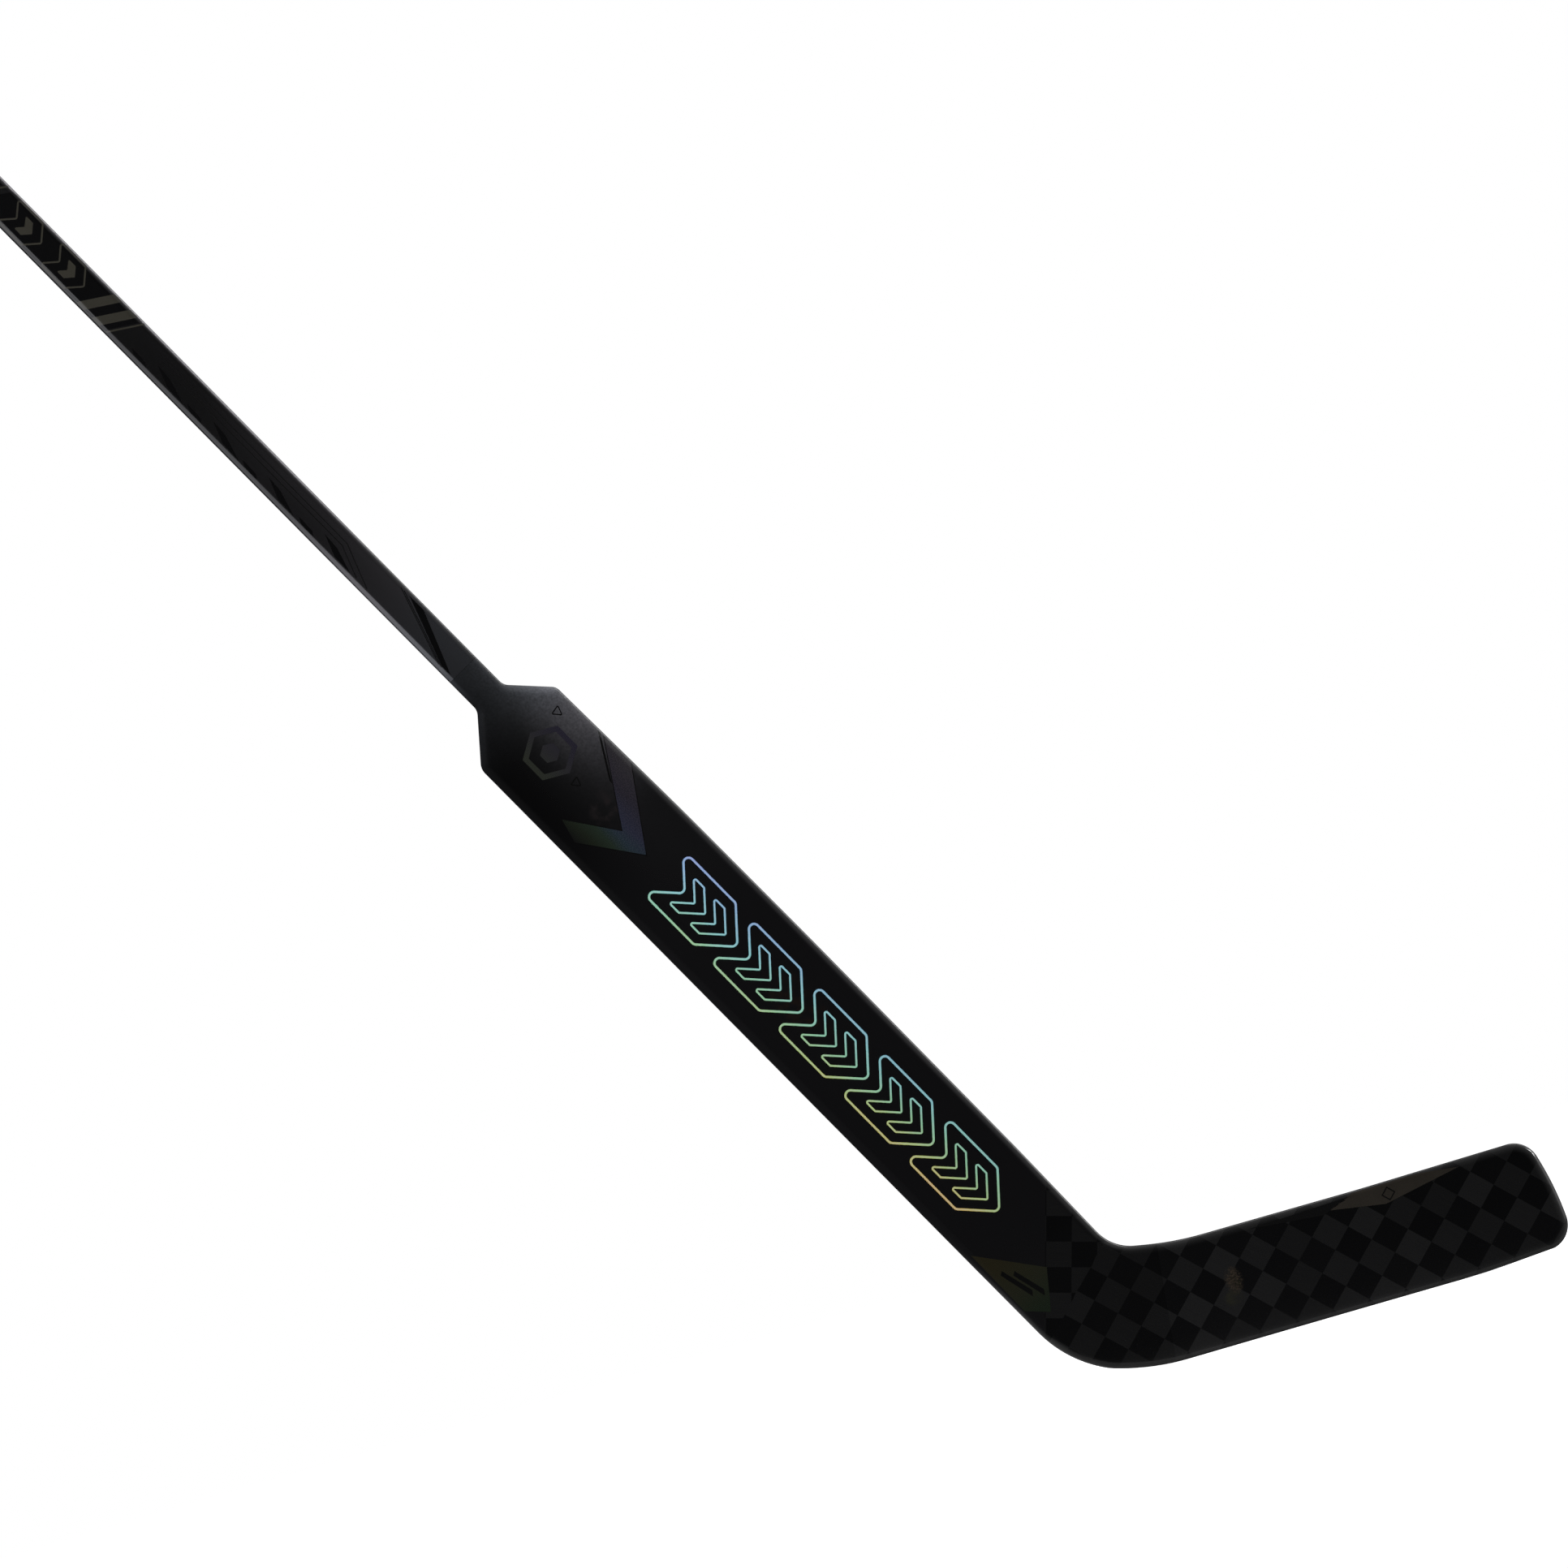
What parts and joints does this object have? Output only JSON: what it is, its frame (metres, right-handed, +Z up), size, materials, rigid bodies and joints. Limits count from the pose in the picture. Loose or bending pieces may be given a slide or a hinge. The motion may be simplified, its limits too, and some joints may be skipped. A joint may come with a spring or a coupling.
{
  "type": "ice hockey goalkeeper's stick",
  "caption": "Composite ice hockey goalkeeper's stick: curved blade, wide paddle and hollow shaft on one line, with foam cores, ribs, neck tenon and a butt plug that pulls out.",
  "frame": {"origin": "on the centre line of the blade's flat sole, where the blade starts to curve, in the mid-plane of the paddle and shaft", "axes": "+X along the sole towards the toe, +Z up from the ice, -Y is the front face that meets the puck; paddle and shaft lean back from the toe at 118.46 degrees from +X, in the XZ plane"},
  "size_m": [1.0917, 0.0534, 1.373],
  "materials": {
    "spread_tow_carbon": "clear-coated spread-tow carbon, 20 mm squares",
    "lacquered_carbon": "near-black satin lacquer under clear coat, with printed and foil bands",
    "core_foam": "closed-cell structural foam, bare",
    "dense_foam": "dense structural foam, bare",
    "rib_laminate": "bare carbon laminate",
    "tenon_laminate": "bare glass and carbon laminate",
    "plug_rubber": "matt black moulded rubber"
  },
  "bodies": {
    "stick": {"blade_front_skin": "spread_tow_carbon", "blade_back_skin": "spread_tow_carbon", "heel_front_skin": "spread_tow_carbon", "heel_back_skin": "spread_tow_carbon", "paddle_front_skin": "lacquered_carbon", "paddle_back_skin": "lacquered_carbon", "shaft_tube": "lacquered_carbon", "blade_core_lower": "core_foam", "blade_core_upper": "core_foam", "paddle_core_heel_side": "core_foam", "paddle_core_throat_side": "core_foam", "heel_block": "dense_foam", "shoulder_block": "dense_foam", "blade_rib": "rib_laminate", "paddle_rib": "rib_laminate", "neck_tenon": "tenon_laminate"},
    "butt_plug": {"butt_plug": "plug_rubber"}
  },
  "joints": [
    {"name": "plug_pull", "type": "slide", "parent": "stick", "child": "butt_plug", "axis": [-0.4765, 0, 0.8792], "range_m": [0, 0.05]}
  ]
}
